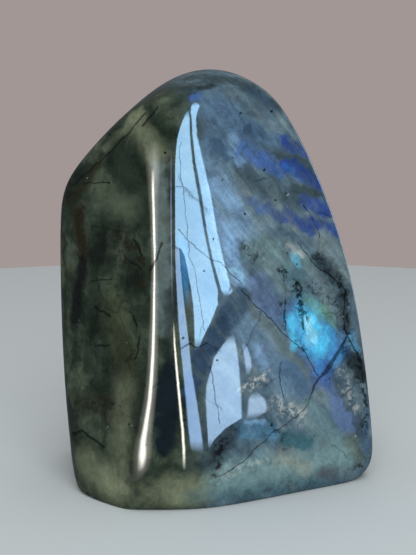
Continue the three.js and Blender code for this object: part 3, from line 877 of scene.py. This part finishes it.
def polish_labradorite(material, stone, finish):
    """Labradorite, a feldspar, ground and polished: grey-green and cloudy, with a fibrous blue-grey
    side, dark cracks, and layers that throw back blue light. The polish mirrors windows like glass."""
    material.use_nodes = True
    tree = material.node_tree
    shade = {name: tuple(getattr(finish, name)) + (1.0,) for name in COLOURS}
    metres = add(tree, "ShaderNodeTexCoord").outputs["Object"]
    place = add(tree, "ShaderNodeVectorMath", {0: metres, "Scale": 1 / MM}, operation="SCALE").outputs[0]
    bent = shifted(tree, place, *BENDS)
    waved = shifted(tree, shifted(tree, place, *WAVES), *RIPPLES)
    jagged = shifted(tree, place, *JAGS)
    ragged = shifted(tree, place, *RAGS)
    fibres = streaks(tree, bent, *FIBRES)
    threads = streaks(tree, bent, *THREADS)
    group = patch_group()

    side = grey_side(tree, stone, waved)
    colour = stone_colour(tree, waved, fibres, side, shade)
    colour = with_patches(tree, group, stone, waved, jagged, threads, colour, shade)
    colour = with_grain(tree, place, waved, threads, side, colour)

    # Cracks and dark flecks break the polish; pale flecks, which are white flakes and painted glints of small
    # pits, only show in the colour.
    cracks = crack_mask(tree, group, stone, place, jagged)
    broken = add(tree, "ShaderNodeMath", {0: cracks, 1: flecks(tree, ragged, *DARK_FLECKS)},
                 operation="MAXIMUM").outputs[0]
    pale = add(tree, "ShaderNodeMath", {0: flecks(tree, ragged, *PALE_FLECKS_AND_GLINTS), 1: PALE_FLECK_AND_GLINT_STRENGTH},
               operation="MULTIPLY").outputs[0]
    for mask, name in ((broken, "crack"), (pale, "chalk_and_glint")):
        colour = add(tree, "ShaderNodeMix", {FACTOR: mask, FIRST: colour, SECOND: shade[name]},
                     data_type="RGBA").outputs[BLEND]

    # The polish is even, and gives way only where it is broken, which mirrors next to nothing. The
    # fibres stand up from it by a few hundredths of a millimetre.
    roughness = add(tree, "ShaderNodeMapRange", {"Value": threads, "To Min": 0.03, "To Max": 0.08})
    gloss = add(tree, "ShaderNodeMapRange", {"Value": broken, "To Min": 0.5, "To Max": 0.05})
    relief = add(tree, "ShaderNodeBump", {"Strength": FIBRE_EFFECT, "Distance": FIBRE_RELIEF * MM,
                                          "Height": fibres})
    shader = tree.nodes["Principled BSDF"]
    shader.inputs["IOR"].default_value = FELDSPAR_IOR
    tree.links.new(colour, shader.inputs["Base Color"])
    tree.links.new(roughness.outputs[0], shader.inputs["Roughness"])
    tree.links.new(gloss.outputs[0], shader.inputs["Specular IOR Level"])
    tree.links.new(relief.outputs[0], shader.inputs["Normal"])


# The stage.

def matte_floor(colour):
    """A matte painted board: even, pale and without gloss."""
    material = bpy.data.materials.new("matte_paint")
    material.use_nodes = True
    shader = material.node_tree.nodes["Principled BSDF"]
    shader.inputs["Base Color"].default_value = tuple(colour) + (1.0,)
    shader.inputs["Roughness"].default_value = 0.8
    shader.inputs["Specular IOR Level"].default_value = 0.0
    return material


def mirrored_place(stone, pixel, turn, distance):
    """The place on an upright plane that the polish mirrors at a point of the picture."""
    place, normal = on_stone(stone, pixel)
    seen = sight(pixel)
    away = seen - normal * 2 * seen.dot(normal)
    facing = outward(turn, 0)
    return place + away * ((distance - place.dot(facing)) / away.dot(facing))


def area_light(name, middle, back, width, height, radiance, hex_colour):
    """A flat light round a middle point, with its back to the given way. Lengths are in millimetres."""
    up = Vector((0, 0, 1)) if abs(back.z) < STEEP else Vector((0, 1, 0))
    right = up.cross(back).normalized()
    data = bpy.data.lights.new(name, "AREA")
    data.shape = "RECTANGLE"
    data.size = width * MM
    data.size_y = height * MM
    data.energy = radiance * math.pi * data.size * data.size_y
    data.color = linear(hex_colour)[:3]
    light = bpy.data.objects.new(name, data)
    bpy.context.scene.collection.objects.link(light)
    light.visible_camera = False
    light.matrix_world = Matrix.Translation(middle * MM) @ Matrix(
        (right, back.cross(right), back)).transposed().to_4x4()
    return light


def soft_light(name, turn, tilt, distance, width, height, radiance, hex_colour):
    """A light that faces the middle of the stone and doesn't show in the polish."""
    back = outward(turn, tilt)
    light = area_light(name, CAMERA_AIM + back * distance, back, width, height, radiance, hex_colour)
    light.visible_glossy = False


def line_through(tree, along, points):
    """The value, at a share along the light, of a line drawn through points from 0 to 1."""
    node = add(tree, "ShaderNodeFloatCurve", {"Value": along})
    node.mapping.extend = "HORIZONTAL"
    line = node.mapping.curves[0].points
    first, *between, last = sorted(points)
    line[0].location, line[1].location = first, last
    for share, value in between:
        line.new(share, value)
    for point in line:
        point.handle_type = "VECTOR"
    node.mapping.update()
    return node.outputs[0]


def shaped_light(name, turn, distance, radiance, hex_colour, softness, rows):
    """An upright light that only shows in the polish. Each of its rows has a left and a right end,
    which are points across and up in millimetres. It fades towards both ends of each row, and out at
    the first and the last row."""
    back = outward(turn, 0)
    ends = [end for row in rows for end in row]
    low = [min(end[axis] for end in ends) for axis in (0, 1)]
    size = [max(end[axis] for end in ends) - low[axis] for axis in (0, 1)]
    across = Vector((0, 0, 1)).cross(back)
    middle = across * (low[0] + size[0] / 2) + Vector((0, 0, low[1] + size[1] / 2)) + back * distance
    light = area_light(name, middle, back, *size, radiance, hex_colour)
    light.visible_diffuse = False
    light.data.use_nodes = True
    tree = light.data.node_tree
    shape = [[((end[1] - low[1]) / size[1], (end[0] - low[0]) / size[0]) for end in row] for row in rows]
    fades = [((left[0] + right[0]) / 2, 0 if number in (0, len(rows) - 1) else 1)
             for number, (left, right) in enumerate(shape)]
    sideways, upwards = add(tree, "ShaderNodeSeparateXYZ", {
        0: add(tree, "ShaderNodeNewGeometry").outputs["Parametric"]}).outputs[:2]
    left = line_through(tree, upwards, [row[0] for row in shape])
    right = line_through(tree, upwards, [row[1] for row in shape])
    there = line_through(tree, upwards, fades)
    wide = add(tree, "ShaderNodeMath", {0: right, 1: left}, operation="SUBTRACT").outputs[0]
    faint = add(tree, "ShaderNodeMath", {0: wide, 1: softness / 2}, operation="MULTIPLY").outputs[0]
    fade = add(tree, "ShaderNodeMath", {0: faint, 1: LEAST_FADE}, operation="MAXIMUM").outputs[0]
    from_left = add(tree, "ShaderNodeMath", {0: sideways, 1: left}, operation="SUBTRACT").outputs[0]
    from_right = add(tree, "ShaderNodeMath", {0: right, 1: sideways}, operation="SUBTRACT").outputs[0]
    inside = add(tree, "ShaderNodeMath", {0: from_left, 1: from_right}, operation="MINIMUM").outputs[0]
    shown = add(tree, "ShaderNodeMath", {0: inside, 1: fade}, operation="DIVIDE", use_clamp=True).outputs[0]
    lit = add(tree, "ShaderNodeMath", {0: shown, 1: there}, operation="MULTIPLY").outputs[0]
    tree.links.new(lit, tree.nodes["Emission"].inputs["Strength"])


def mirrored_light(stone, name, turn, distance, radiance, hex_colour, softness, picture_rows):
    """A shaped light whose rows are given as the polish shows them in the picture."""
    across = Vector((0, 0, 1)).cross(outward(turn, 0))
    rows = []
    for row, left, right in picture_rows:
        places = [mirrored_place(stone, (column, row), turn, distance) for column in (left, right)]
        rows.append(sorted((place.dot(across), place.z) for place in places))
    shaped_light(name, turn, distance, radiance, hex_colour, softness, rows)


class StoneSettings(bpy.types.PropertyGroup):
    """Sizes of the stone."""
    core_height: bpy.props.FloatProperty(
        name="Core Height", description="Height of the point that every ground face is measured from",
        default=41.5 * MM, unit="LENGTH", subtype="DISTANCE")
    half_size: bpy.props.FloatVectorProperty(
        name="Half Size", description="Rough half sizes that spread the surface's points evenly",
        default=(33 * MM, 24 * MM, 45 * MM), unit="LENGTH", subtype="TRANSLATION")
    foot_crowding: bpy.props.FloatProperty(
        name="Foot Crowding", description="How far the rows of points crowd towards the foot", default=1.3)
    pit_spacing: bpy.props.FloatProperty(
        name="Pit Spacing", description="Cell size of the random pattern of pits",
        default=6 * MM, unit="LENGTH", subtype="DISTANCE")
    pit_radius: bpy.props.FloatProperty(
        name="Pit Radius", description="Radius of a pit", default=0.8 * MM, unit="LENGTH", subtype="DISTANCE")
    pit_depth: bpy.props.FloatProperty(
        name="Pit Depth", description="Depth of a pit", default=0.04 * MM, unit="LENGTH", subtype="DISTANCE")
    pit_share: bpy.props.FloatProperty(
        name="Pit Share", description="Share of the cells that hold a pit", default=0.3, subtype="FACTOR")
    pit_seed: bpy.props.IntProperty(
        name="Pit Seed", description="Which random pattern of pits the stone has", default=3)


def colour_property(name, description, hex_colour):
    """A colour that a user can change, with an sRGB hex default."""
    return bpy.props.FloatVectorProperty(name=name, description=description, subtype="COLOR", size=3,
                                         min=0.0, max=1.0, default=linear(hex_colour)[:3])


class FinishSettings(bpy.types.PropertyGroup):
    """Colours of the stone."""
    __annotations__ = {name: colour_property(name.title(), use, hex_colour)
                       for name, (hex_colour, use) in COLOURS.items()}


class StageSettings(bpy.types.PropertyGroup):
    """Sizes and colours of the stage."""
    floor_radius: bpy.props.FloatProperty(
        name="Floor Radius", description="Radius of the round floor", default=290 * MM, unit="LENGTH",
        subtype="DISTANCE")
    floor_colour: colour_property("Floor", "Colour of the pale floor", "#b3bec1")
    wall_colour: colour_property("Wall", "Colour of the plain surroundings", "#a29795")
    mirrored_colour: colour_property("Mirrored Room", "Colour of the room that the polish mirrors", "#4c5054")


class LABRADORITE_OT_stone(bpy.types.Operator):
    """Makes the polished stone in place of its plain solid"""
    bl_idname = "labradorite.stone"
    bl_label = "Polished Stone"

    def execute(self, context):
        settings = context.scene.labradorite_stone
        polish = bpy.data.materials.new("polished_labradorite")
        stone = grown_piece(STONE_NAME, stone_tree(settings), {"Polish": polish})
        polish_labradorite(polish, stone, context.scene.labradorite_finish)
        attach(stone, "root")
        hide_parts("stone")
        return {"FINISHED"}


class LABRADORITE_OT_stage(bpy.types.Operator):
    """Makes the floor, the lights and the camera"""
    bl_idname = "labradorite.stage"
    bl_label = "Stage"

    def execute(self, context):
        camera = bpy.data.objects.new("camera", bpy.data.cameras.new("camera"))
        context.scene.collection.objects.link(camera)
        right, up, back = camera_axes()
        turn = Matrix((right, up, back)).transposed().to_4x4()
        camera.matrix_world = Matrix.Translation(camera_place() * MM) @ turn
        camera.data.lens = CAMERA_LENS
        camera.data.sensor_width = CAMERA_SENSOR
        camera.data.clip_start = CAMERA_NEAREST * MM
        context.scene.camera = camera
        context.scene.view_settings.view_transform = "Standard"

        settings = context.scene.labradorite_stage
        bpy.ops.mesh.primitive_circle_add(
            vertices=FLOOR_SIDES, radius=settings.floor_radius, fill_type="NGON")
        floor = context.object
        floor.name = "floor"
        floor.data.materials.append(matte_floor(settings.floor_colour))
        floor.visible_glossy = False

        # The surroundings are one plain wall colour, and the polish mirrors the dimmer side of the room.
        world = bpy.data.worlds.new("plain surroundings")
        world.use_nodes = True
        tree = world.node_tree
        in_polish = add(tree, "ShaderNodeLightPath").outputs["Is Glossy Ray"]
        wall = tuple(settings.wall_colour) + (1.0,)
        room = tuple(settings.mirrored_colour) + (1.0,)
        seen = add(tree, "ShaderNodeMix", {FACTOR: in_polish, FIRST: wall, SECOND: room}, data_type="RGBA")
        tree.links.new(seen.outputs[BLEND], tree.nodes["Background"].inputs["Color"])
        context.scene.world = world

        for name, light in SOFT_LIGHTS.items():
            soft_light(name, *light)
        for name, light in MIRRORED_LIGHTS.items():
            mirrored_light(bpy.data.objects[STONE_NAME], name, *light)
        for name, light in FAR_WINDOWS.items():
            shaped_light(name, *light)
        return {"FINISHED"}


class LABRADORITE_PT_panel(bpy.types.Panel):
    """Lists the stone's and the stage's settings with their makers"""
    bl_idname = "LABRADORITE_PT_panel"
    bl_label = "Labradorite"
    bl_space_type = "VIEW_3D"
    bl_region_type = "UI"
    bl_category = "Labradorite"

    def draw(self, context):
        scene = context.scene
        for operator, groups in (
            (LABRADORITE_OT_stone, (scene.labradorite_stone, scene.labradorite_finish)),
            (LABRADORITE_OT_stage, (scene.labradorite_stage,)),
        ):
            box = self.layout.box()
            for settings in groups:
                for name in settings.__annotations__:
                    box.prop(settings, name)
            box.operator(operator.bl_idname)


CLASSES = (StoneSettings, FinishSettings, StageSettings,
           LABRADORITE_OT_stone, LABRADORITE_OT_stage, LABRADORITE_PT_panel)


def register():
    for cls in CLASSES:
        bpy.utils.register_class(cls)
    bpy.types.Scene.labradorite_stone = bpy.props.PointerProperty(type=StoneSettings)
    bpy.types.Scene.labradorite_finish = bpy.props.PointerProperty(type=FinishSettings)
    bpy.types.Scene.labradorite_stage = bpy.props.PointerProperty(type=StageSettings)


def unregister():
    del bpy.types.Scene.labradorite_stage
    del bpy.types.Scene.labradorite_finish
    del bpy.types.Scene.labradorite_stone
    for cls in reversed(CLASSES):
        bpy.utils.unregister_class(cls)


def main():
    register()
    bpy.ops.labradorite.stone()
    bpy.ops.labradorite.stage()


if __name__ == "__main__":
    main()
